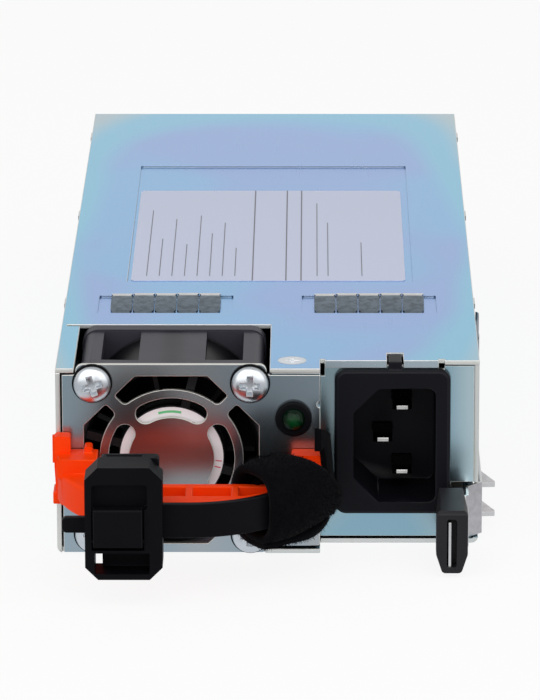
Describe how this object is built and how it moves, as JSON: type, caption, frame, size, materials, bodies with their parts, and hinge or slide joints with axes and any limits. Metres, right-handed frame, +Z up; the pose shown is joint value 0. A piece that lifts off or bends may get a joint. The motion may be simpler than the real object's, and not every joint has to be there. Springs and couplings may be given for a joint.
{
  "type": "switching power supply",
  "caption": "Hot-swap power supply in a zinc-plated box: grilled fan, mains inlet, lamp, orange pull handle with tie, cord clamp and strap, sprung side latch, rear edge connector.",
  "frame": {"origin": "centre of the tray's underside, midway along its length", "axes": "+X to the right seen from the fan end, +Y from the fan end to the rear connector, +Z up"},
  "size_m": [0.0919, 0.2654, 0.041],
  "materials": {
    "zinc_steel": "zinc-plated sheet, satin, faint iridescence",
    "tin_spring": "dull tin-plated spring strip",
    "bright_steel": "bright plated",
    "label_film": "pale satin sticker",
    "fan_plastic": "moulded dark grey",
    "black_plastic": "moulded black",
    "orange_plastic": "moulded bright orange",
    "strap_fabric": "black hook-and-loop pile",
    "black_rubber": "black, matt",
    "plated_brass": "plated contact metal",
    "green_lens": "tinted green lens",
    "board_laminate": "green laminate",
    "clear_film": "translucent film",
    "copper_wire": "enamelled copper",
    "wire_jacket": "wire insulation",
    "ferrite": "sintered ferrite",
    "capacitor_sleeve": "shrink sleeve",
    "package_resin": "moulded package",
    "heatsink_metal": "extruded, plain"
  },
  "bodies": {
    "chassis": {"board_screws": "bright_steel", "board_standoffs": "plated_brass", "bridge_rectifier": "package_resin", "bulk_capacitors": "capacitor_sleeve", "chassis_tray": "zinc_steel", "choke_windings": "copper_wire", "circuit_board": "board_laminate", "control_card": "board_laminate", "cover_screw": "bright_steel", "edge_contacts": "plated_brass", "fan_bearings": "bright_steel", "fan_coils": "copper_wire", "fan_frame": "fan_plastic", "fan_header": "package_resin", "fan_label": "label_film", "fan_lead": "wire_jacket", "fan_screws": "bright_steel", "fan_stator": "ferrite", "fan_washers": "black_rubber", "front_panel": "zinc_steel", "fuse_tube": "package_resin", "gasket_left": "tin_spring", "gasket_right": "tin_spring", "gasket_side": "tin_spring", "heatsink_output": "heatsink_metal", "heatsink_primary": "heatsink_metal", "hook_loop_strap": "strap_fabric", "inlet_body": "black_plastic", "inlet_panel": "zinc_steel", "inlet_pins": "plated_brass", "inlet_wires": "wire_jacket", "insulator_sheet": "clear_film", "latch_rivets": "bright_steel", "led_bezel": "black_plastic", "led_lens": "green_lens", "led_wires": "wire_jacket", "line_capacitors": "capacitor_sleeve", "line_chokes": "ferrite", "output_capacitors": "capacitor_sleeve", "output_choke": "copper_wire", "pfc_choke": "copper_wire", "power_transistors": "package_resin", "pull_handle": "orange_plastic", "rating_label": "label_film", "rear_panel": "zinc_steel", "strap_tie": "black_plastic", "top_cover": "zinc_steel", "transformer_core": "ferrite", "transformer_winding": "copper_wire"},
    "fan_rotor": {"fan_rotor": "fan_plastic", "fan_magnet": "black_rubber", "fan_shaft": "bright_steel"},
    "latch": {"latch_spring": "zinc_steel", "latch_grip": "black_plastic"},
    "clamp": {"cord_clamp": "black_plastic", "tongue_pin": "bright_steel"},
    "tongue": {"clamp_tongue": "black_plastic"}
  },
  "joints": [
    {"name": "fan_spin", "type": "hinge", "parent": "chassis", "child": "fan_rotor", "pos_m": [-0.0199, -0.094, 0.0206], "axis": [0, 1, 0], "continuous": true},
    {"name": "latch_press", "type": "hinge", "parent": "chassis", "child": "latch", "pos_m": [0.0443, -0.041, 0.007], "axis": [0, 0, -1], "range_deg": [0, 2.6], "stiffness_Nm_per_rad": 12},
    {"name": "clamp_slide", "type": "slide", "parent": "chassis", "child": "clamp", "axis": [1, 0, 0], "range_m": [-0.004, 0.0075]},
    {"name": "tongue_lift", "type": "hinge", "parent": "clamp", "child": "tongue", "pos_m": [-0.02985, -0.1432, 0.0139], "axis": [1, 0, 0], "range_deg": [0, 18], "stiffness_Nm_per_rad": 0.02}
  ]
}
